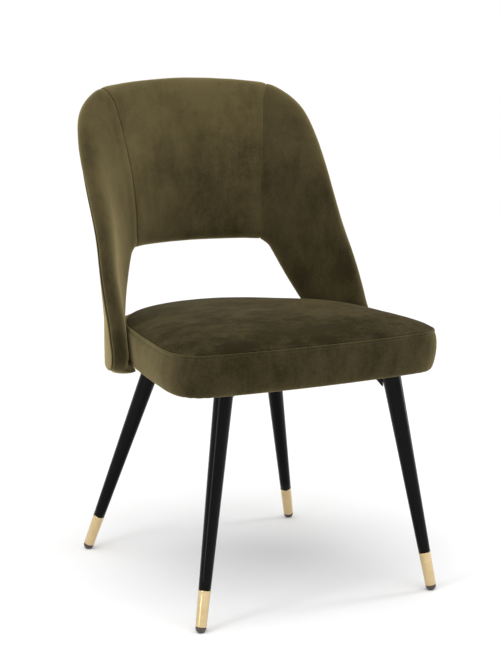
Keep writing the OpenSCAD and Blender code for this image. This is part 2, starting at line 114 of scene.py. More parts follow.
def add_modifier(obj, kind, name, **values):
    """Adds a modifier with the given settings to a piece."""
    mod = obj.modifiers.new(name, kind)
    for key, value in values.items():
        setattr(mod, key, value)
    return mod


def apply_modifiers(obj):
    """Replaces the object's mesh by its evaluated mesh."""
    deps = bpy.context.evaluated_depsgraph_get()
    mesh = bpy.data.meshes.new_from_object(obj.evaluated_get(deps), depsgraph=deps)
    obj.modifiers.clear()
    old = obj.data
    obj.data = mesh
    bpy.data.meshes.remove(old)
    mesh.polygons.foreach_set("use_smooth", [True] * len(mesh.polygons))


def finish_piece(obj, slot, *nodes):
    """Fixes a piece to the chair's one body, in place of the CAD nodes it stands for."""
    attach(obj, ROOT)
    if nodes:
        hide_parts(*nodes)
    return obj


def lerp(a, b, k):
    return a + (b - a) * k


def spaced(points, count):
    """count + 1 points evenly spaced along a polyline."""
    return at_lengths(points, np.linspace(0, 1, count + 1))


def at_lengths(points, fractions):
    """Points at the given fractions of a polyline's length."""
    pts = np.array(points, float)
    lengths = np.concatenate([[0], np.cumsum(np.linalg.norm(np.diff(pts, axis=0), axis=1))])
    want = np.array(fractions) * lengths[-1]
    return np.stack([np.interp(want, lengths, pts[:, k]) for k in range(pts.shape[1])], -1)


def arc(centre, r, a0, a1, n):
    """n + 1 points of a circle, from angle a0 to a1 in degrees."""
    t = np.radians(np.linspace(a0, a1, n + 1))
    return np.stack([centre[0] + r * np.cos(t), centre[1] + r * np.sin(t)], -1)


def soft_noise(points, scale, seed):
    """Smooth noise from -1 to 1 at each point, with features of about scale millimetres."""
    shift = Vector((seed * 17.3, seed * 5.1, seed * 9.7))
    return np.array([noise.noise(Vector(p) / scale + shift) for p in points])


# ---------------------------------------------------------------- materials
class Nodes:
    """A short way to build a node tree."""

    def __init__(self, name):
        self.material = bpy.data.materials.new(name)
        self.material.use_nodes = True
        self.tree = self.material.node_tree
        self.shader = self.tree.nodes["Principled BSDF"]
        self.place = self.tree.nodes.new("ShaderNodeTexCoord").outputs["Object"]

    def add(self, kind, inputs=None, **settings):
        node = self.tree.nodes.new("ShaderNode" + kind)
        for key, value in settings.items():
            setattr(node, key, value)
        for key, value in (inputs or {}).items():
            self.put(node.inputs[key], value)
        return node

    def put(self, socket, value):
        if isinstance(value, bpy.types.NodeSocket):
            self.tree.links.new(value, socket)
        else:
            socket.default_value = value

    def noise(self, scale, detail=2.0, rough=0.5, stretch=(1, 1, 1)):
        mapped = self.add("Mapping", {"Vector": self.place, "Scale": stretch})
        return self.add("TexNoise", {"Vector": mapped.outputs[0], "Scale": scale, "Detail": detail,
                                     "Roughness": rough}).outputs["Fac"]

    def spread(self, value, low, high, to_low=0.0, to_high=1.0):
        return self.add("MapRange", {"Value": value, "From Min": low, "From Max": high,
                                     "To Min": to_low, "To Max": to_high}).outputs[0]

    def maths(self, operation, a, b):
        node = self.add("Math", operation=operation)
        self.put(node.inputs[0], a)
        self.put(node.inputs[1], b)
        return node.outputs[0]

    def blend(self, fac, a, b, mode="MIX"):
        node = self.add("Mix", data_type="RGBA", blend_type=mode)
        self.put(node.inputs["Factor"], fac)
        self.put(node.inputs["A"], a)
        self.put(node.inputs["B"], b)
        return node.outputs["Result"]

    def bump(self, height, strength, distance, under=None):
        inputs = {"Height": height, "Strength": strength, "Distance": distance}
        if under is not None:
            inputs["Normal"] = under
        return self.add("Bump", inputs).outputs[0]

    def set(self, **values):
        for key, value in values.items():
            self.put(self.shader.inputs[key.replace("_", " ")], value)
        return self.material


def rgb(r, g, b):
    return (r, g, b, 1.0)


def velvet(name, grazing=0.7, sheen=0.5, lay=(1, 1, 0.3), depth=1.0, contrast=1.0, painted_light_gradient=None):
    """Short olive pile. It is dark seen face on and light seen along the surface.

    grazing is how much painted sheen lightens it where it is seen along the surface, and lay
    stretches the marks that brushing leaves. depth is the panel's tone: partly the way its pile was
    laid when it was cut and partly painted light and shade, which makes the panels lit and shaded
    copies of one velvet; contrast is how marked it is by use. upward is a direction along which
    painted light and shade turn the colour from dark to light: the two places along it between
    which it turns, and by how much it turns."""
    n = Nodes(name)
    patches = n.spread(n.noise(11, 3, 0.65), 0.36, 0.64)
    smudges = n.spread(n.noise(48, 5, 0.72, lay), 0.32, 0.68)
    crushed = n.spread(n.noise(210, 4, 0.8), 0.34, 0.66)
    pile = n.noise(1500, 2, 0.6)
    nap_and_painted_light = n.maths("ADD", n.maths("MULTIPLY", patches, 0.36), n.maths("MULTIPLY", smudges, 0.34))
    nap_and_painted_light = n.maths("ADD", nap_and_painted_light, n.maths("MULTIPLY", crushed, 0.30))
    dark = rgb(0.0195 * depth, 0.0152 * depth, 0.0064 * depth)
    light = rgb(0.058 * depth, 0.0455 * depth, 0.0198 * depth)
    nap_and_painted_light = n.maths("ADD", n.maths("MULTIPLY", n.maths("SUBTRACT", nap_and_painted_light, 0.5), contrast), 0.5)
    # Painted light and shade: the colour is made darker at one end of the given direction and lighter at
    # the other, on top of the nap's own marks.
    if painted_light_gradient:
        direction, low, high, amount = painted_light_gradient
        height = n.add("VectorMath", {0: n.place, 1: direction}, operation="DOT_PRODUCT").outputs["Value"]
        turn = n.spread(height, low, high, -amount, amount)
        uneven = n.spread(patches, 0, 1, -0.08, 0.08)
        nap_and_painted_light = n.maths("ADD", nap_and_painted_light, n.maths("ADD", turn, uneven))
    colour = n.blend(nap_and_painted_light, dark, light)
    # Painted sheen: the colour is mixed towards a light olive where the surface is seen along it, more so
    # on the lighter marks of the nap.
    facing = n.add("LayerWeight", {"Blend": 0.5}).outputs["Facing"]
    along = n.maths("MULTIPLY", n.maths("POWER", facing, 1.5), grazing)
    along = n.maths("MULTIPLY", along, n.spread(nap_and_painted_light, 0, 1, 0.72, 1.1))
    colour = n.blend(along, colour, rgb(0.215, 0.172, 0.080))
    speck = n.spread(pile, 0.35, 0.65, 0.86, 1.14)
    grey = n.add("CombineColor", {"Red": speck, "Green": speck, "Blue": speck}).outputs[0]
    colour = n.blend(1.0, colour, grey, "MULTIPLY")
    fine = n.bump(pile, 0.3, 0.0004)
    brushed = n.bump(smudges, 0.10, 0.0012, fine)
    return n.set(Base_Color=colour, Roughness=n.spread(nap_and_painted_light, 0, 1, 0.95, 0.8), Normal=brushed,
                 Sheen_Weight=sheen, Sheen_Roughness=0.42, Sheen_Tint=rgb(0.80, 0.66, 0.32),
                 Specular_IOR_Level=0.04)


def powder_coat():
    """Black powder coat with a fine orange-peel surface."""
    n = Nodes("black_steel")
    peel = n.noise(900, 2, 0.5)
    dust = n.spread(n.noise(35, 4, 0.6), 0.4, 0.75)
    colour = n.blend(dust, rgb(0.0010, 0.0008, 0.0007), rgb(0.0022, 0.0018, 0.0016))
    rough = n.spread(dust, 0, 1, 0.15, 0.22)
    return n.set(Base_Color=colour, Roughness=rough, Normal=n.bump(peel, 0.12, 0.0003),
                 Specular_IOR_Level=0.10)


def polished_gold():
    """Pale gold plating, polished, with faint turning lines and handling marks."""
    n = Nodes("gold")
    marks = n.spread(n.noise(60, 5, 0.7), 0.45, 0.8)
    rings = n.noise(40, 2, 0.5, (0.4, 0.4, 30))
    colour = n.blend(marks, rgb(0.66, 0.51, 0.285), rgb(0.56, 0.42, 0.22))
    rough = n.maths("ADD", n.spread(rings, 0.3, 0.7, 0.13, 0.19), n.maths("MULTIPLY", marks, 0.06))
    return n.set(Base_Color=colour, Metallic=1.0, Roughness=rough, Normal=n.bump(rings, 0.05, 0.0002))


def moulded_plastic():
    """Dark grey-brown moulded plastic with a fine spark-eroded grain."""
    n = Nodes("glide_plastic")
    grain = n.noise(1400, 3, 0.6)
    scuff = n.spread(n.noise(150, 4, 0.7), 0.5, 0.8)
    colour = n.blend(scuff, rgb(0.050, 0.040, 0.034), rgb(0.085, 0.072, 0.062))
    return n.set(Base_Color=colour, Roughness=n.spread(scuff, 0, 1, 0.42, 0.62),
                 Normal=n.bump(grain, 0.2, 0.0002))


def felt():
    """Black non-woven lining: pressed fibres with a dimpled bond pattern."""
    n = Nodes("felt")
    fibres = n.noise(650, 4, 0.75, (1, 3.5, 1))
    dimples = n.add("TexVoronoi", {"Vector": n.place, "Scale": 420.0}).outputs["Distance"]
    colour = n.blend(n.spread(fibres, 0.3, 0.7), rgb(0.006, 0.006, 0.006), rgb(0.022, 0.022, 0.023))
    pressed = n.bump(dimples, 0.4, 0.0006, n.bump(fibres, 0.3, 0.0003))
    return n.set(Base_Color=colour, Roughness=0.95, Normal=pressed, Sheen_Weight=0.15)


def birch_ply():
    """Raw birch plywood: soft grain on the face, darker glue lines on the edge."""
    n = Nodes("plywood")
    grain = n.noise(22, 5, 0.6, (1, 7, 1))
    plies = n.add("TexWave", {"Vector": n.place, "Scale": 210.0, "Distortion": 0.6},
                  bands_direction="Z").outputs["Fac"]
    colour = n.blend(n.spread(grain, 0.3, 0.7), rgb(0.50, 0.34, 0.18), rgb(0.64, 0.48, 0.29))
    colour = n.blend(n.maths("MULTIPLY", plies, 0.18), colour, rgb(0.30, 0.18, 0.09))
    return n.set(Base_Color=colour, Roughness=0.62, Normal=n.bump(grain, 0.2, 0.0004))


def cut_foam():
    """Yellow upholstery foam with open cells."""
    n = Nodes("foam")
    cells = n.add("TexVoronoi", {"Vector": n.place, "Scale": 700.0}).outputs["Distance"]
    colour = n.blend(n.spread(n.noise(30, 3), 0.3, 0.7), rgb(0.62, 0.52, 0.28), rgb(0.75, 0.66, 0.40))
    return n.set(Base_Color=colour, Roughness=0.95, Normal=n.bump(cells, 0.5, 0.0008))


def zinc():
    """Zinc-plated fasteners with a faint mottle."""
    n = Nodes("zinc")
    spangle = n.noise(260, 3, 0.6)
    colour = n.blend(n.spread(spangle, 0.35, 0.65), rgb(0.48, 0.49, 0.50), rgb(0.66, 0.66, 0.65))
    return n.set(Base_Color=colour, Metallic=1.0, Roughness=n.spread(spangle, 0.3, 0.7, 0.28, 0.42),
                 Normal=n.bump(spangle, 0.1, 0.0002))


def thread():
    """Twisted sewing thread in the velvet's colour."""
    n = Nodes("thread")
    twist = n.add("TexWave", {"Vector": n.place, "Scale": 900.0, "Distortion": 1.5},
                  bands_direction="DIAGONAL").outputs["Fac"]
    colour = n.blend(twist, rgb(0.022, 0.018, 0.008), rgb(0.050, 0.040, 0.018))
    return n.set(Base_Color=colour, Roughness=0.7, Normal=n.bump(twist, 0.4, 0.0003), Sheen_Weight=0.3)


VELVET = velvet("velvet")
# The depths below are partly painted light and shade: the back's centre and left wing are made lighter and
# the right wing darker. Their gradients are painted light and shade too: the back's panels are darker low
# down and lighter at the top, and the seat top is lighter towards its back right.
VELVET_CENTRE = velvet("velvet_back_centre", depth=1.45, painted_light_gradient=((-0.3, 0, 1), 0.50, 0.82, 0.30))
VELVET_LEFT = velvet("velvet_wing_left", depth=1.15, grazing=0.75, painted_light_gradient=((0, 0, 1), 0.42, 0.70, 0.28))
VELVET_RIGHT = velvet("velvet_wing_right", depth=0.95, grazing=0.7, painted_light_gradient=((0, 0, 1), 0.50, 0.80, 0.42))
VELVET_SEAT = velvet("velvet_seat_top", grazing=0.07, sheen=0.06, lay=(0.6, 1, 1), depth=0.80,
                     contrast=1.9, painted_light_gradient=((0.45, 0.9, 0), -0.26, 0.16, 0.30))
VELVET_BAND = velvet("velvet_band", grazing=0.42, sheen=0.25, lay=(1, 1, 0.35), depth=0.76, contrast=1.5)
THREAD = thread()
BLACK = powder_coat()
GOLD = polished_gold()
PLASTIC = moulded_plastic()
ZINC = zinc()
SLOTS = {"velvet": VELVET, "black_steel": BLACK, "gold": GOLD, "glide_plastic": PLASTIC,
         "felt": felt(), "plywood": birch_ply(), "foam": cut_foam(), "zinc": ZINC}
for part in frame["record"]["subparts"]:
    node_obj = frame["nodes"][part["node"]]
    node_obj.data.materials.clear()
    node_obj.data.materials.append(SLOTS[part["material_slot"]])


# ---------------------------------------------------------------- the shell's surface
WING_Z, WING_SPREAD = 466, 0.10
FLARE_Z, FLARE_POWER, FLARE_GAIN = 580, 1.95, 0.0033
LEAN_Z, LEAN_REACH = 700, 32
RIM_REACH, HOLE_REACH = 13, 16
RIM_SHOULDER, HOLE_SHOULDER = 24, 11
RIM_Y, RIM_SWEEP, RIM_CURL = 77, 0.5, 0.00025
CORNER_R, CORNER_SEAM_Z, CORNER_TURN, CREST_TURN = 92, 792, 28, 81.8
OPENING_SIDE_X, OPENING_LEAN, OPENING_CORNER_R = 183, 0.38, 36
RIM_SEAM_TURN, HOLE_SEAM_TURN = 73.5, 68.5
MM_PER_DEGREE = 5.3
SQUEEZE_FROM = 62
LIP, LIP_Z = 42, 386.5     # the inner cover reaches this far under the seat, below this height


def half_w(z):
    """Half the shell's width at a height."""
    flare = FLARE_GAIN * np.maximum(0, z - FLARE_Z) ** FLARE_POWER
    return WING_HALF_W + WING_SPREAD * np.maximum(0, z - WING_Z) + flare


def depth_y(z):
    """How far the shell's rear reaches behind the origin line at a height."""
    return BACK_DEPTH + LEAN_REACH * np.clip((z - LEAN_Z) / 170, 0, 1) ** 1.5


def outer(q):
    """Points of the shell's outer face at q: angle round the shell in degrees, and height."""
    a, z = np.radians(q[..., 0]), q[..., 1]
    return np.stack([half_w(z) * np.sin(a), depth_y(z) * np.cos(a), z], -1)


def partials(q):
    """How a surface point moves for each degree round the shell, and for each millimetre up."""
    d = 0.25
    along = (outer(q + [d, 0]) - outer(q - [d, 0])) / (2 * d)
    up = (outer(q + [0, d]) - outer(q - [0, d])) / (2 * d)
    return along, up


def unit(v):
    return v / np.linalg.norm(v, axis=-1, keepdims=True)


def outward(q):
    """Unit normals of the shell's outer face."""
    along, up = partials(q)
    return unit(np.cross(up, along))


def thickness(q):
    """Padding is a little thinner beside the seat, and the lowest roll is tucked under the seat."""
    high = np.clip((q[..., 1] - WING_Z) / 80, 0, 1)
    side = np.clip((SQUEEZE_FROM - np.abs(q[..., 0])) / 25, 0, 1)
    tuck = LIP * np.clip((LIP_Z - q[..., 1]) / 4.5, 0, 1)
    return lerp(SHELL_LOW_T, SHELL_T, np.maximum(high, side)) + tuck


def shift_on_surface(q, direction, distance):
    """q moved along the surface by a distance in millimetres in a 3-D direction."""
    along, up = partials(q)
    aa, uu = (along * along).sum(-1), (up * up).sum(-1)
    au, ad, ud = (along * up).sum(-1), (along * direction).sum(-1), (up * direction).sum(-1)
    det = aa * uu - au * au
    step = np.stack([(ad * uu - ud * au) / det, (ud * aa - ad * au) / det], -1)
    return q + step * np.asarray(distance)[..., None]


def rim_angle(z):
    """Angle round the shell at which its front edge lies, at a height."""
    h = z - WING_Z
    return np.degrees(np.arccos((RIM_Y + RIM_SWEEP * h + RIM_CURL * h * h) / depth_y(z)))


def from_x(x, z, inside=0.0):
    """Surface places with a given x, on a face that lies a distance inside the outer one."""
    return np.stack([np.degrees(np.arcsin(x / (half_w(z) - inside))), z], -1)


def rim_outline():
    """The right half of the rim, from the top middle: to the panel seam, then to the bottom middle."""
    corner_x = half_w(CORNER_SEAM_Z) * math.sin(math.radians(rim_angle(CORNER_SEAM_Z))) \
        - CORNER_R * math.cos(math.radians(CORNER_TURN))
    corner_z = CORNER_SEAM_Z - CORNER_R * math.sin(math.radians(CORNER_TURN))
    turn = math.radians(CREST_TURN)
    crest_x, crest_z = corner_x + CORNER_R * math.cos(turn), corner_z + CORNER_R * math.sin(turn)
    k = np.linspace(0, 1, 24)
    crest_line = from_x(crest_x * k, crest_z + crest_x / (2 * math.tan(turn)) * (1 - k ** 2))
    first = arc((corner_x, corner_z), CORNER_R, CREST_TURN - 0.5, RIM_SEAM_TURN, 12)
    second = arc((corner_x, corner_z), CORNER_R, RIM_SEAM_TURN, CORNER_TURN, 30)
    bottom = SHELL_BOTTOM_Z + RIM_REACH
    low_r = 22
    side_z = np.arange(CORNER_SEAM_Z - 6, bottom + low_r, -6.0)
    side = np.stack([rim_angle(side_z), side_z], -1)
    low_centre = (rim_angle(bottom + low_r) * MM_PER_DEGREE - low_r, bottom + low_r)
    low = arc(low_centre, low_r, 0, -90, 14) / [MM_PER_DEGREE, 1]
    band = np.stack([low[-1, 0] * np.linspace(0.95, 0, 20), np.full(20, float(bottom))], -1)
    return (np.concatenate([crest_line, from_x(first[:, 0], first[:, 1])]),
            np.concatenate([from_x(second[:, 0], second[:, 1]), side, low]),
            np.concatenate([low[-1:], band]))


def hole_outline():
    """The right half of the opening's outline, split at the same places as the rim's."""
    turn = math.degrees(math.atan(OPENING_LEAN))
    top, low_z, low_r, r = OPENING_TOP_Z + HOLE_REACH, 430.0, 22, OPENING_CORNER_R
    cz = top - r
    cx = OPENING_SIDE_X - OPENING_LEAN * (cz - WING_Z) - r / math.cos(math.radians(turn))
    top_line = from_x(cx * np.linspace(0, 1, 12), np.full(12, float(top)), SHELL_T)
    first = arc((cx, cz), r, 89, HOLE_SEAM_TURN, 8)
    second = arc((cx, cz), r, HOLE_SEAM_TURN, turn, 16)
    side_z = np.arange(cz + 8, low_z + low_r, -5.0)
    side = from_x(OPENING_SIDE_X - OPENING_LEAN * (side_z - WING_Z), side_z, SHELL_T)
    low_start = from_x(OPENING_SIDE_X - OPENING_LEAN * (low_z + low_r - WING_Z), low_z + low_r, SHELL_T)
    low = arc((low_start[0] * MM_PER_DEGREE - low_r, low_z + low_r), low_r, 0, -90, 12) / [MM_PER_DEGREE, 1]
    band = np.stack([low[-1, 0] * np.linspace(0.95, 0, 20), np.full(20, low_z)], -1)
    return (np.concatenate([top_line, from_x(first[:, 0], first[:, 1], SHELL_T)]),
            np.concatenate([from_x(second[:, 0], second[:, 1], SHELL_T), side, low]),
            np.concatenate([low[-1:], band]))


def even(points, fractions):
    """Surface places at fractions of an outline's length in millimetres."""
    return at_lengths(points * [MM_PER_DEGREE, 1], fractions) / [MM_PER_DEGREE, 1]


def seam_fractions(count, length, at_start, at_end):
    """Fractions of a stretch, with extra ones close to the ends that are sewn."""
    f = list(np.linspace(0, 1, count + 1))
    near = np.array([0.6, 1.2, 1.9, 2.8, 4.2, 6.5]) / length
    if at_start:
        f += list(near)
    if at_end:
        f += list(1 - near)
    return np.array(sorted(set(np.round(f, 6))))


STRETCH_MM = (165, 480, 400)      # rough lengths of the centre, wing and band stretches of the rim
STRETCH_STEPS = (22, 76, 30)
SEWN = ((False, True), (True, False), (False, False))


def stretch(k):
    """Rim places and opening places along one stretch of the right half."""
    f = seam_fractions(STRETCH_STEPS[k], STRETCH_MM[k], *SEWN[k])
    return even(RIM[k], f), even(HOLE[k], f)


RIM, HOLE = rim_outline(), hole_outline()


def smooth_line(q, times=3):
    """Evens out a line's small kinks and keeps its two ends."""
    for _ in range(times):
        q[1:-1] = 0.25 * q[:-2] + 0.5 * q[1:-1] + 0.25 * q[2:]
    return q


def half_line(parts):
    """The whole right half as one smoothed line, with the index where each stretch starts."""
    starts, line = [0], parts[0]
    for part in parts[1:]:
        starts.append(len(line) - 1)
        line = np.concatenate([line, part[1:]])
    starts.append(len(line) - 1)
    mirrored = np.concatenate([line[:0:-1] * [-1, 1], line])
    mirrored = smooth_line(mirrored)
    return mirrored[len(line) - 1:], starts


STRETCHES = [stretch(k) for k in range(3)]
RIM_LINE, STARTS = half_line([rim for rim, hole in STRETCHES])
HOLE_LINE = half_line([hole for rim, hole in STRETCHES])[0]


def side_direction(line, sign):
    """At each point of an outline, the direction on the surface that points off the shell."""
    p = outer(line)
    before = np.concatenate([p[1:2] * [-1, 1, 1], p[:-1]])
    after = np.concatenate([p[1:], p[-2:-1] * [-1, 1, 1]])
    return sign * unit(np.cross(after - before, outward(line)))


RIM_OFF = side_direction(RIM_LINE, 1)
HOLE_OFF = side_direction(HOLE_LINE, -1)

SEAM_END = -62          # where round the rolled edge the inner cover meets the outer one
MID_DEPTH = 0.43        # the share of the thickness at which the rolled edge reaches furthest
OUTER_CURL = 3.5
ACROSS = 26             # steps across the inner face, between its two rolled edges
OUTER_ACROSS = 20       # steps across the outer face
OUTER_TURNS = (-64, -70, -77, -84, -90)     # round the outer cover's edge, away from its seam


def rolled_edge(reach, shoulder, steps=12):
    """Distance past the outline and share of the thickness, from the outer seam to the inner face."""
    out = []
    for a in np.linspace(SEAM_END, 90, steps + 1):
        s, c = math.sin(math.radians(a)), math.cos(math.radians(a))
        if a < 0:
            out.append((OUTER_CURL + (reach - OUTER_CURL) * c, MID_DEPTH * (1 + s)))
        else:
            out.append((-shoulder + (reach + shoulder) * c ** 0.9, MID_DEPTH + (1 - MID_DEPTH) * s ** 0.95))
    return out


def curled(reach, turns):
    """The part of a rolled edge that the outer cover holds, as in rolled_edge."""
    out = []
    for a in turns:
        s, c = math.sin(math.radians(a)), math.cos(math.radians(a))
        out.append((OUTER_CURL + (reach - OUTER_CURL) * c, MID_DEPTH * (1 + s)))
    return out


def shell_rows(index, off_rim, off_hole, mirror):
    """Surface places and depths of a run of stations: one row of points for each station."""
    rim, hole = RIM_LINE[index], HOLE_LINE[index]
    columns, depths = [], []
    for past, share in rolled_edge(HOLE_REACH, HOLE_SHOULDER):
        columns.append(shift_on_surface(hole, off_hole, np.full(len(index), past)))
        depths.append(share)
    start, end = columns[-1], shift_on_surface(rim, off_rim, np.full(len(index), -RIM_SHOULDER))
    for k in range(1, ACROSS):
        columns.append(lerp(start, end, k / ACROSS))
        depths.append(1.0)
    for past, share in reversed(rolled_edge(RIM_REACH, RIM_SHOULDER)):
        columns.append(shift_on_surface(rim, off_rim, np.full(len(index), past)))
        depths.append(share)
    q = np.stack(columns, 1)
    depth = np.array(depths)[None, :] * thickness(q)
    if mirror:
        q = q * [-1, 1]
    return q, depth


def surface_points(q, depth):
    """Points that lie a depth inside the shell's outer face."""
    return outer(q) - depth[..., None] * outward(q)


def sewn_dip(distance, deep=1.7, wide=1.35, puff=0.45, puff_at=15):
    """How far cloth sinks towards a seam at a distance from it, with a slight swell beside it."""
    groove = deep * np.exp(-(distance / wide) ** 2)
    slope = 0.4 * np.exp(-(distance / 6) ** 2)
    swell = puff * np.exp(-((distance - puff_at) / (puff_at * 0.6)) ** 2)
    return groove + slope - swell


def hem_dip(cols, second):
    """How far a cover's two hems turn in, at its outermost columns and the ones next to them."""
    edge = np.minimum(np.arange(cols), np.arange(cols)[::-1])[None]
    return np.where(edge == 0, 2.0, np.where(edge == 1, second, 0))


def shell_cover(name, runs, sewn_at, seed, velvet_kind):
    """One panel of the inner cover. runs are (indices, mirror) blocks, in order along the panel."""
    blocks = [shell_rows(np.array(i), RIM_OFF[i], HOLE_OFF[i], m) for i, m in runs]
    q = np.concatenate([b[0] for b in blocks])
    depth = np.concatenate([b[1] for b in blocks])
    pts = surface_points(q, depth)
    rows, cols = pts.shape[:2]
    dip = np.zeros((rows, cols))
    for row in sewn_at:
        away = np.linalg.norm(pts - pts[row][None], axis=-1)
        along = np.cumsum(np.linalg.norm(np.diff(pts[row], axis=0, prepend=pts[row][:1]), axis=-1))
        tuck = 0.35 * np.sin(along / 5.2 + seed) * np.sin(along / 19.0 + 2 * seed)
        dip += sewn_dip(away) + tuck[None] * np.exp(-away / 14) * (away > 1)
    dip += hem_dip(cols, 0.5)
    flat = pts.reshape(-1, 3)
    ripple = 0.55 * soft_noise(flat, 62, seed) + 0.18 * soft_noise(flat, 19, seed + 3)
    dip += ripple.reshape(rows, cols)
    pts = pts + dip[..., None] * roll_normals(pts)
    obj = make_object(name, pts.reshape(-1, 3), [f[::-1] for f in grid_faces(rows, cols)], velvet_kind)
    return thicken(obj)


def roll_normals(pts):
    """Unit normals of a grid of points, pointing into the padding."""
    a = np.gradient(pts, axis=0)
    b = np.gradient(pts, axis=1)
    return -unit(np.cross(a, b))


def thicken(obj, cloth=1.2, levels=1):
    """Gives a cover the cloth's thickness, towards its inner side, and smooths it."""
    add_modifier(obj, "SOLIDIFY", "cloth", thickness=cloth * MM, offset=-1, use_rim=True)
    add_modifier(obj, "SUBSURF", "smooth", levels=levels, render_levels=levels)
    apply_modifiers(obj)
    return obj


def shell_outer(name, seed):
    """The outer cover: one panel right round, from the opening's seam to the rim's seam."""
    n = len(RIM_LINE)
    hole_curl, rim_curl = curled(HOLE_REACH, OUTER_TURNS), curled(RIM_REACH, OUTER_TURNS[::-1])
    columns = [(shift_on_surface(HOLE_LINE, HOLE_OFF, np.full(n, x)), s) for x, s in hole_curl]
    start, end = columns[-1][0], shift_on_surface(RIM_LINE, RIM_OFF, np.full(n, rim_curl[0][0]))
    columns += [(lerp(start, end, k / OUTER_ACROSS), 0.0) for k in range(1, OUTER_ACROSS)]
    columns += [(shift_on_surface(RIM_LINE, RIM_OFF, np.full(n, x)), s) for x, s in rim_curl]
    q = np.stack([c[0] for c in columns], 1)
    depth = np.array([c[1] for c in columns])[None] * thickness(q)
    right = surface_points(q, depth)
    left = right[n - 2:0:-1] * [-1, 1, 1]
    pts = np.concatenate([right, left])
    rows, cols = pts.shape[:2]
    dip = hem_dip(cols, 0.6) * np.ones((rows, 1))
    flat = pts.reshape(-1, 3)
    dip += (0.5 * soft_noise(flat, 75, seed) + 0.12 * soft_noise(flat, 22, seed + 3)).reshape(rows, cols)
    wrapped = np.concatenate([pts[-1:], pts, pts[:1]])
    normals = unit(np.cross(np.gradient(wrapped, axis=0), np.gradient(wrapped, axis=1)))[1:-1]
    pts = pts + dip[..., None] * normals
    faces = grid_faces(rows, cols, closed_rows=True)
    obj = make_object(name, pts.reshape(-1, 3), faces, VELVET)
    return thicken(obj)


def build_shell():
    """The inner cover's three panels and the outer cover."""
    wing_start, last = STARTS[1], STARTS[3]
    centre = list(range(wing_start, 0, -1))
    cover = shell_cover("back_cover_centre_visual",
                        [(centre, True), (list(range(0, wing_start + 1)), False)], (0, -1), 1,
                        VELVET_CENTRE)
    finish_piece(cover, "velvet", "back_cover_centre", "back_foam_inner")
    wing = list(range(wing_start, last + 1))
    right = shell_cover("back_cover_wing_right_visual", [(wing, False)], (0,), 2, VELVET_RIGHT)
    finish_piece(right, "velvet", "back_cover_wing_right")
    left = shell_cover("back_cover_wing_left_visual", [(wing[::-1], True)], (-1,), 3, VELVET_LEFT)
    finish_piece(left, "velvet", "back_cover_wing_left")
    back = shell_outer("back_cover_outer_visual", 4)
    finish_piece(back, "velvet", "back_cover_outer", "back_foam_outer")


# ---------------------------------------------------------------- the seat
REAR_FROM = 73          # angle round the shell, in degrees, from which it holds the seat
SIDE_POINTS = 70        # points along each of the four sides of the seat's plan
FRONT_BOW = 0.0003
SIDE_START_Y = -128.0   # the side's first point behind the front corner
SIDE_BOW = 1.5
REAR_CORNER = (170, 210)    # close to where the plan turns from its side to its rear
HELD_FROM, HELD_OVER = 10, 60   # the shell's hold on the seat grows from this y over this length
REAR_FALL = 14.0        # how far the crown falls towards the shell


def rear_point(angle):
    """Plan point of the shell's inner face at the height of the seat's sewn edge."""
    q = np.array([float(angle), float(SEAM_Z)])
    p = outer(q) - (thickness(q) + 1.2) * outward(q)
    return p[:2]


def seat_half():
    """Right half of the sewn edge in plan, from the front middle to the rear middle."""
    straight = SEAT_HALF_W - SEAT_CORNER_R
    x = np.linspace(0, straight, 12)
    front = np.stack([x, -SEAT_FRONT + FRONT_BOW * x * x], -1)
    corner = arc((straight, front[-1, 1] + SEAT_CORNER_R), SEAT_CORNER_R, -86, -4, 14)
    hold = rear_point(REAR_FROM)
    k = np.linspace(0, 1, 12)[:, None]
    side = lerp(np.array([SEAT_HALF_W, SIDE_START_Y]), hold, k)
    side[:, 0] += SIDE_BOW * np.sin(np.pi * k[:, 0])
    rear = np.array([rear_point(a) for a in np.linspace(REAR_FROM - 4, 0, 30)])
    return np.concatenate([front, corner, side, rear])


def seat_plan():
    """Closed plan outline with 4 x SIDE_POINTS points, starting at the left front corner."""
    half = smooth_line(spaced(seat_half(), 400), 40)
    left = half[::-1] * [-1, 1]
    loop = np.concatenate([half[:-1], left[:-1]])
    corners = [(-SEAT_HALF_W, -SEAT_FRONT), (SEAT_HALF_W, -SEAT_FRONT), REAR_CORNER,
               (-REAR_CORNER[0], REAR_CORNER[1])]
    marks = [int(np.argmin(((loop - c) ** 2).sum(1))) for c in corners]
    out = []
    for a, b in zip(marks, marks[1:] + marks[:1]):
        run = [loop[i % len(loop)] for i in range(a, (b if b > a else b + len(loop)) + 1)]
        out.append(spaced(run, SIDE_POINTS)[:-1])
    return np.concatenate(out)


def plan_inward(plan):
    """Unit directions that point into a closed plan outline."""
    d = unit(np.roll(plan, -1, 0) - np.roll(plan, 1, 0))
    return np.stack([-d[:, 1], d[:, 0]], -1)


# The side band's profile, from the hem under the seat up to the sewn edge: outset and height
BAND_PROFILE = [(-34, 388.7), (-25, 388.6), (-18, 388.3), (-13.2, 387.0), (-9.6, 386.8), (-6.6, 388.2),
                (-4.5, 390.8), (-2.9, 394.4), (-1.5, 399.2), (-0.1, 405), (1.2, 411.5), (2.2, 418),
                (2.8, 425), (2.9, 432), (2.5, 439), (1.6, 445), (0.6, 448.6), (-0.4, 450.6),
                (-1.7, 451.9), (-0.9, 453.1), (-0.5, 454.7), (-0.7, 456.2), (-1.6, 457.4), (-3.2, 458.0)]
STITCH_ROW = 18         # the groove of the topstitching in that profile


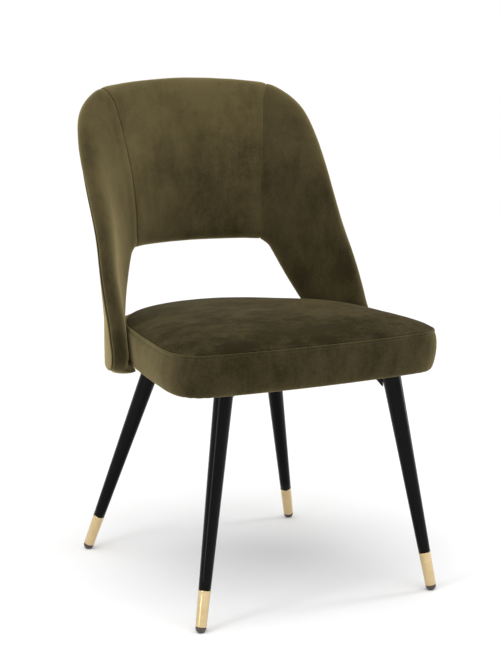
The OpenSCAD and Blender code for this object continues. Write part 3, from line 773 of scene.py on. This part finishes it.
def coons(border, n):
    """A grid that fills a closed border of 4 n points."""
    b = np.asarray(border)
    bottom, right = b[0:n + 1], b[n:2 * n + 1]
    top, left = b[2 * n:3 * n + 1][::-1], np.concatenate([b[3 * n:], b[:1]])[::-1]
    u = np.linspace(0, 1, n + 1)[None, :, None]
    v = np.linspace(0, 1, n + 1)[:, None, None]
    ruled_v = (1 - v) * bottom[None] + v * top[None]
    ruled_u = (1 - u) * left[:, None] + u * right[:, None]
    bilinear = (1 - u) * (1 - v) * b[0] + u * (1 - v) * b[n] + u * v * b[2 * n] + (1 - u) * v * b[3 * n]
    return ruled_v + ruled_u - bilinear


def seat_top_z(p, plan):
    """Height of the crown over the sewn edge at plan points."""
    away = np.min(np.linalg.norm(p[:, None] - plan[None, ::2], axis=-1), axis=1)
    shoulder = 1 - np.clip(1 - away / 30, 0, 1) ** 2.6
    dome = 1 - np.clip(1 - away / 200, 0, 1) ** 2
    return CROWN_H * (0.84 * shoulder + 0.16 * dome)


def squeeze(points):
    """0 on the free part of the seat and 1 where the shell holds it."""
    return np.clip((points[:, 1] - HELD_FROM) / HELD_OVER, 0, 1)


def build_seat():
    """The cushion's points after inflating, and the faces of its band and of its top."""
    n = SIDE_POINTS
    plan = seat_plan()
    inward = plan_inward(plan)
    held = squeeze(plan)
    loops = []
    for outset, z in BAND_PROFILE:
        outset_held = min(outset, 0) - 3 * max(0.0, (SEAM_Z - z) / 70)
        move = lerp(outset, outset_held, held)
        p = plan - inward * move[:, None]
        loops.append(np.concatenate([p, np.full((len(p), 1), float(z))], 1))
    rows, cols = len(loops), len(plan)
    band = np.concatenate(loops)
    rim_row = loops[-1]
    grid = coons(rim_row[:, :2], n)
    flat = grid.reshape(-1, 2)
    height = SEAM_Z + 0.2 + seat_top_z(flat, rim_row[:, :2])
    rear_fall = REAR_FALL * np.clip((flat[:, 1] + 20) / 220, 0, 1) ** 1.3
    top = np.concatenate([flat, (height - rear_fall * (height - SEAM_Z) / CROWN_H)[:, None]], 1)
    # The whole cushion is one closed sheet for the simulation: the band, then the top grid.
    border = ([j for j in range(n)] + [j * (n + 1) + n for j in range(n)]
              + [n * (n + 1) + n - j for j in range(n)] + [(n - j) * (n + 1) for j in range(n)])
    index = np.full(len(top), -1)
    last_row = (rows - 1) * cols
    for k, b in enumerate(border):
        index[b] = last_row + k
    free = np.where(index < 0)[0]
    index[free] = len(band) + np.arange(len(free))
    verts = np.concatenate([band, top[free]])
    band_faces = grid_faces(rows, cols, closed_cols=True)
    top_faces = [tuple(index[v] for v in f) for f in grid_faces(n + 1, n + 1)]
    pinned = np.zeros(len(verts))
    pinned[:3 * cols] = 1
    for row, weight in ((STITCH_ROW, 0.75), (rows - 1, 0.9), (rows - 2, 0.5)):
        pinned[row * cols:(row + 1) * cols] = weight
    pinned = np.maximum(pinned, squeeze(verts) * (verts[:, 2] < SEAM_Z + 2))
    puffed = inflate("seat_sim", verts, band_faces + top_faces, pinned)
    sheet = puffed[index].reshape(n + 1, n + 1, 3)
    for _ in range(10):
        middle = (sheet[:-2, 1:-1] + sheet[2:, 1:-1] + sheet[1:-1, :-2] + sheet[1:-1, 2:]) / 4
        sheet[1:-1, 1:-1] = lerp(sheet[1:-1, 1:-1], middle, 0.6)
    puffed[index] = sheet.reshape(-1, 3)
    return puffed, band_faces, top_faces, rows, cols


def inflate(name, verts, faces, pinned, cap=7.0, frames=18):
    """Runs Blender's cloth under pressure on a closed cushion and returns its capped points."""
    obj = make_object(name, verts, faces, VELVET)
    start = np.array(verts, float)
    group = obj.vertex_groups.new(name="pinned")
    for weight in sorted(set(np.round(pinned, 2))):
        if weight > 0:
            ids = [int(i) for i in np.where(np.round(pinned, 2) == weight)[0]]
            group.add(ids, float(weight), "REPLACE")
    mod = add_modifier(obj, "CLOTH", "cloth")
    cloth = mod.settings
    cloth.quality = 6
    cloth.mass = 0.3
    cloth.tension_stiffness = cloth.compression_stiffness = 18
    cloth.shear_stiffness = 6
    cloth.bending_stiffness = 1.2
    cloth.use_pressure = True
    cloth.uniform_pressure_force = 3.5
    cloth.vertex_group_mass = "pinned"
    cloth.pin_stiffness = 1.5
    cloth.effector_weights.gravity = 0
    mod.collision_settings.use_collision = False
    mod.collision_settings.use_self_collision = False
    scene = bpy.context.scene
    mod.point_cache.frame_start, mod.point_cache.frame_end = 1, frames
    for step in range(1, frames + 1):
        scene.frame_set(step)
    deps = bpy.context.evaluated_depsgraph_get()
    mesh = obj.evaluated_get(deps).data
    pts = np.empty(len(mesh.vertices) * 3)
    mesh.vertices.foreach_get("co", pts)
    pts = pts.reshape(-1, 3) / MM - [0, LINE_Y, 0]
    scene.frame_set(1)
    bpy.data.objects.remove(obj, do_unlink=True)
    move = pts - start
    size = np.linalg.norm(move, axis=1, keepdims=True)
    return start + move * np.minimum(1, cap / np.maximum(size, 1e-6))


def seat_pieces():
    """The seat's top panel, side band and topstitching."""
    pts, band_faces, top_faces, rows, cols = build_seat()
    ripple = 0.5 * soft_noise(pts, 85, 11) + 0.2 * soft_noise(pts, 24, 12)
    pts[:, 2] += np.where(pts[:, 2] > SEAM_Z + 3, ripple, 0)
    corner_pleats(pts, rows, cols)
    used = sorted({v for f in top_faces for v in f})
    where = {v: i for i, v in enumerate(used)}
    faces = [[where[v] for v in f] for f in top_faces]
    top = make_object("seat_top_panel_visual", pts[used], faces, VELVET_SEAT)
    thicken(top)
    finish_piece(top, "velvet", "seat_top_panel", "seat_foam")
    band = make_object("seat_side_band_visual", pts[:rows * cols], band_faces, VELVET_BAND)
    thicken(band)
    finish_piece(band, "velvet", "seat_side_band")
    stitches(pts[STITCH_ROW * cols:(STITCH_ROW + 1) * cols])


def corner_pleats(pts, rows, cols):
    """The band is gathered into small pleats where it turns under the front corners."""
    band = pts[:rows * cols].reshape(rows, cols, 3)
    for corner in (0, SIDE_POINTS):
        for k in range(-14, 15):
            col = (corner + k) % cols
            fade = math.exp(-(k / 7.0) ** 2)
            for row in range(2, 13):
                z = band[row, col, 2]
                low = max(0.0, 1 - (z - 388) / 26)
                band[row, col, 2] += 0.9 * fade * low * math.cos(k * 2.2)
                pull = 0.8 * fade * low * math.cos(k * 2.2)
                direction = band[row, col, :2] / np.linalg.norm(band[row, col, :2])
                band[row, col, :2] += pull * direction
    pts[:rows * cols] = band.reshape(-1, 3)


def stitches(loop, pitch=4.6, length=3.2, r=0.32):
    """Short thread stitches lying in the topstitched groove round the front and the free sides."""
    line = np.concatenate([loop, loop[:1]])
    lengths = np.concatenate([[0], np.cumsum(np.linalg.norm(np.diff(line, axis=0), axis=1))])
    verts, faces = [], []
    for s in np.arange(0, lengths[-1] - length, pitch):
        ends = [np.array([np.interp(s + d, lengths, line[:, k]) for k in range(3)]) for d in (0, length)]
        if max(ends[0][1], ends[1][1]) > 20:
            continue
        axis = unit(ends[1] - ends[0])
        out = unit(np.array([axis[1], -axis[0], 0.0]))
        up = np.cross(axis, out)
        base = len(verts)
        for k in range(7):
            f = k / 6
            bow = math.sin(math.pi * f)
            mid = lerp(ends[0], ends[1], f) + out * (0.35 * bow + 0.05)
            size = r * (0.35 + 0.65 * bow ** 0.5)
            for a in range(8):
                t = 2 * math.pi * a / 8
                verts.append(mid + size * (math.cos(t) * out + math.sin(t) * up))
        faces += [tuple(base + v for v in f) for f in grid_faces(7, 8, closed_cols=True)]
        faces += [tuple(base + a for a in range(7, -1, -1)), tuple(base + 48 + a for a in range(8))]
    obj = make_object("seat_topstitch", verts, faces, THREAD)
    finish_piece(obj, "velvet")


def dust_cover(inset=17, level=387.7, cells=56):
    """Black lining stretched over the underside, puckered a little between its staples."""
    plan = seat_plan()
    outline = plan + plan_inward(plan) * inset
    ring = spaced(np.concatenate([outline, outline[:1]]), 4 * cells)[:-1]
    grid = coons(ring, cells).reshape(-1, 2)
    away = np.min(np.linalg.norm(grid[:, None] - ring[None], axis=-1), axis=1)
    around = np.argmin(np.linalg.norm(grid[:, None] - ring[None], axis=-1), axis=1)
    pucker = 0.22 * np.sin(around * 0.9) * np.exp(-away / 18)
    flat = np.concatenate([grid, np.full((len(grid), 1), float(level))], 1)
    flat[:, 2] += pucker + 0.12 * soft_noise(flat, 70, 21)
    obj = make_object("dust_cover_lining", flat, grid_faces(cells + 1, cells + 1), SLOTS["felt"])
    add_modifier(obj, "SOLIDIFY", "lining", thickness=0.4 * MM, offset=0)
    apply_modifiers(obj)
    finish_piece(obj, "felt", "dust_cover")


# ---------------------------------------------------------------- legs
GLIDE_FLAT_R = 4.0
GLIDE_Z = math.sqrt(LEG_FOOT_R ** 2 - GLIDE_FLAT_R ** 2)
TUBE_SIDES = 72


def leg_axis(leg):
    """A leg's foot point, its direction and two directions square to it."""
    x, y, lean_x, lean_y = LEGS[leg]
    d = unit(np.array([lean_x, lean_y, 1.0]))
    foot = np.array([x, y, 0.0]) + d * (GLIDE_Z / d[2])
    side = unit(np.cross(d, [0, 1, 0]))
    return foot, d, side, np.cross(d, side)


def leg_r(along):
    """A leg's radius at a distance along it from the foot point."""
    return lerp(LEG_FOOT_R, LEG_TOP_R, min(1.0, along / (LEG_TOP_Z * 1.06)))


def turned(name, leg, profile, material, level_top=None, level_bottom=None):
    """A piece turned round a leg's axis from (distance along it, radius) pairs.

    level_top or level_bottom cuts it off level at that height instead of square."""
    foot, d, side, other = leg_axis(leg)
    verts = []
    for along, r in profile:
        for k in range(TUBE_SIDES):
            t = 2 * math.pi * k / TUBE_SIDES
            p = foot + d * along + r * (math.cos(t) * side + math.sin(t) * other)
            if level_top is not None and p[2] > level_top:
                p = p + d * ((level_top - p[2]) / d[2])
            if level_bottom is not None and p[2] < level_bottom:
                p = p + d * ((level_bottom - p[2]) / d[2])
            verts.append(p)
    n = TUBE_SIDES
    faces = grid_faces(len(profile), n, closed_cols=True)
    faces.append(tuple(range(n - 1, -1, -1)))
    faces.append(tuple((len(profile) - 1) * n + k for k in range(n)))
    obj = make_object(name, verts, faces, material)
    for poly in obj.data.polygons[-2:]:
        poly.use_smooth = False
    return obj


def build_legs():
    """The tube, ferrule and glide of each leg."""
    foot_r, ferrule_r, end = LEG_FOOT_R, leg_r(FERRULE_LEN), FERRULE_LEN
    lip = 0.35              # how far the ferrule's upper rim stands out
    tube = [(end + 0.1, ferrule_r - 0.7), (end + 0.35, ferrule_r - 0.25)]
    tube += [(s, leg_r(s)) for s in np.linspace(end + 0.8, LEG_TOP_Z * 1.1, 24)]
    ferrule = [(1.3, foot_r - 0.9), (1.5, foot_r - 0.25), (2.1, leg_r(2) + 0.05), (3.2, leg_r(3.2) + 0.1)]
    ferrule += [(s, leg_r(s) + 0.12) for s in np.linspace(6, end - 3.2, 10)]
    ferrule += [(end - 2.4, ferrule_r + 0.2), (end - 1.9, ferrule_r + lip),
                (end - 0.8, ferrule_r + lip + 0.1), (end - 0.2, ferrule_r + 0.1), (end, ferrule_r - 0.5)]
    glide = [(foot_r * math.sin(a), foot_r * math.cos(a)) for a in np.radians(np.linspace(-88, -2, 16))]
    glide += [(0.6, foot_r - 0.05), (1.25, foot_r - 0.35)]
    for leg in LEGS:
        obj = turned("leg_tube_visual_" + leg, leg, tube, BLACK, level_top=LEG_TOP_Z - 0.2)
        finish_piece(obj, "black_steel", "leg_tube_" + leg, "leg_cap_" + leg)
        obj = turned("ferrule_visual_" + leg, leg, ferrule, GOLD)
        finish_piece(obj, "gold", "ferrule_" + leg)
        obj = turned("glide_visual_" + leg, leg, glide, PLASTIC, level_bottom=0.0)
        finish_piece(obj, "glide_plastic", "glide_" + leg)


def weld_beads():
    """The weld beads where the frame bars meet the legs."""
    bar_half_h = 12.5
    bar_middle_z = LEG_TOP_Z - 0.1 - bar_half_h
    n_ring, n_tube, half_turn = 44, 8, 52
    for leg in LEGS:
        foot, d, side, other = leg_axis(leg)
        at = (bar_middle_z + 1.0 - foot[2]) / d[2]
        centre = foot + d * at
        inward = unit(np.array([-centre[0], -centre[1] + 40, 0.0]))
        start = math.atan2(inward @ other, inward @ side)
        r = leg_r(at) + 0.2
        verts = []
        for k in range(n_ring + 1):
            t = start + math.radians(lerp(-half_turn, half_turn, k / n_ring))
            fade = math.sin(math.pi * k / n_ring) ** 0.5
            out = math.cos(t) * side + math.sin(t) * other
            spine = centre + r * out
            size = (1.7 + 0.35 * math.sin(k * 1.9)) * (0.25 + 0.75 * fade)
            for a in range(n_tube):
                w = 2 * math.pi * a / n_tube
                verts.append(spine + size * (math.cos(w) * out + math.sin(w) * d))
        faces = grid_faces(n_ring + 1, n_tube, closed_cols=True)
        faces += [tuple(range(n_tube - 1, -1, -1)), tuple(n_ring * n_tube + a for a in range(n_tube))]
        finish_piece(make_object("weld_bead_" + leg, verts, faces, BLACK), "black_steel")


# ---------------------------------------------------------------- studio
FLOOR_HALF = 300         # metres, so that its edge lies at the horizon
CAMERA_PLACE = (-1.4374, -2.6744 + LINE_Y * MM, 1.0367)
CAMERA_DOWN, CAMERA_ROUND, LENS = 11.13, -27.9, 95.8


def area_light(name, place, target, size, power):
    """A rectangular lamp, in metres and watts, aimed at a target."""
    data = bpy.data.lights.new(name, "AREA")
    data.shape = "RECTANGLE"
    data.size, data.size_y = size
    data.energy = power
    obj = bpy.data.objects.new(name, data)
    obj.location = place
    obj.rotation_euler = (Vector(target) - Vector(place)).to_track_quat("-Z", "Y").to_euler()
    bpy.context.scene.collection.objects.link(obj)


def paper_sky():
    """A white surround that is brightest at the horizon."""
    world = bpy.data.worlds.new("studio")
    world.use_nodes = True
    back = world.node_tree.nodes["Background"]
    back.inputs["Color"].default_value = (1, 1, 1, 1)
    links = world.node_tree.links
    place = world.node_tree.nodes.new("ShaderNodeTexCoord")
    axes = world.node_tree.nodes.new("ShaderNodeSeparateXYZ")
    walls = world.node_tree.nodes.new("ShaderNodeMapRange")
    links.new(place.outputs["Generated"], axes.inputs[0])
    links.new(axes.outputs["Z"], walls.inputs["Value"])
    links.new(walls.outputs[0], back.inputs["Strength"])
    walls.interpolation_type = "SMOOTHSTEP"
    for key, value in {"From Min": 0.08, "From Max": 0.30, "To Min": 1.05, "To Max": 0.50}.items():
        walls.inputs[key].default_value = value
    bpy.context.scene.world = world


def pale_floor():
    n = Nodes("floor")
    tone = n.spread(n.noise(3, 2), 0.3, 0.7)
    colour = n.blend(tone, rgb(0.90, 0.90, 0.90), rgb(0.93, 0.93, 0.93))
    n.set(Base_Color=colour, Roughness=0.9, Specular_IOR_Level=0.1)
    f = FLOOR_HALF
    mesh = bpy.data.meshes.new("floor")
    mesh.from_pydata([(-f, -f, 0), (f, -f, 0), (f, f, 0), (-f, f, 0)], [], [(0, 1, 2, 3)])
    mesh.materials.append(n.material)
    floor = bpy.data.objects.new("floor", mesh)
    bpy.context.scene.collection.objects.link(floor)


def studio():
    """A white room lit mostly from above, and the camera at the photo's angle."""
    scene = bpy.context.scene
    scene.view_settings.view_transform = "Standard"
    scene.view_settings.look = "None"
    paper_sky()
    pale_floor()
    overhead = bpy.data.lights.new("overhead", "SUN")
    overhead.energy = 2.0
    overhead.angle = math.radians(75)
    obj = bpy.data.objects.new("overhead", overhead)
    obj.rotation_euler = (math.radians(10), math.radians(-14), 0)
    scene.collection.objects.link(obj)
    area_light("left_strip", (-2.3, -0.9, 1.0), (0, 0, 0.45), (0.5, 2.0), 16)
    area_light("front", (0.9, -3.0, 1.6), (0, 0, 0.5), (1.6, 1.6), 12)
    area_light("right_strip", (2.2, -0.3, 1.0), (0, 0, 0.4), (0.4, 2.0), 14)
    camera = bpy.data.cameras.new("camera")
    camera.sensor_width = 36
    camera.lens = LENS
    obj = bpy.data.objects.new("camera", camera)
    obj.location = CAMERA_PLACE
    obj.rotation_euler = (math.radians(90 - CAMERA_DOWN), 0, math.radians(CAMERA_ROUND))
    scene.collection.objects.link(obj)
    scene.camera = obj


studio()
build_shell()
seat_pieces()
dust_cover()
build_legs()
weld_beads()
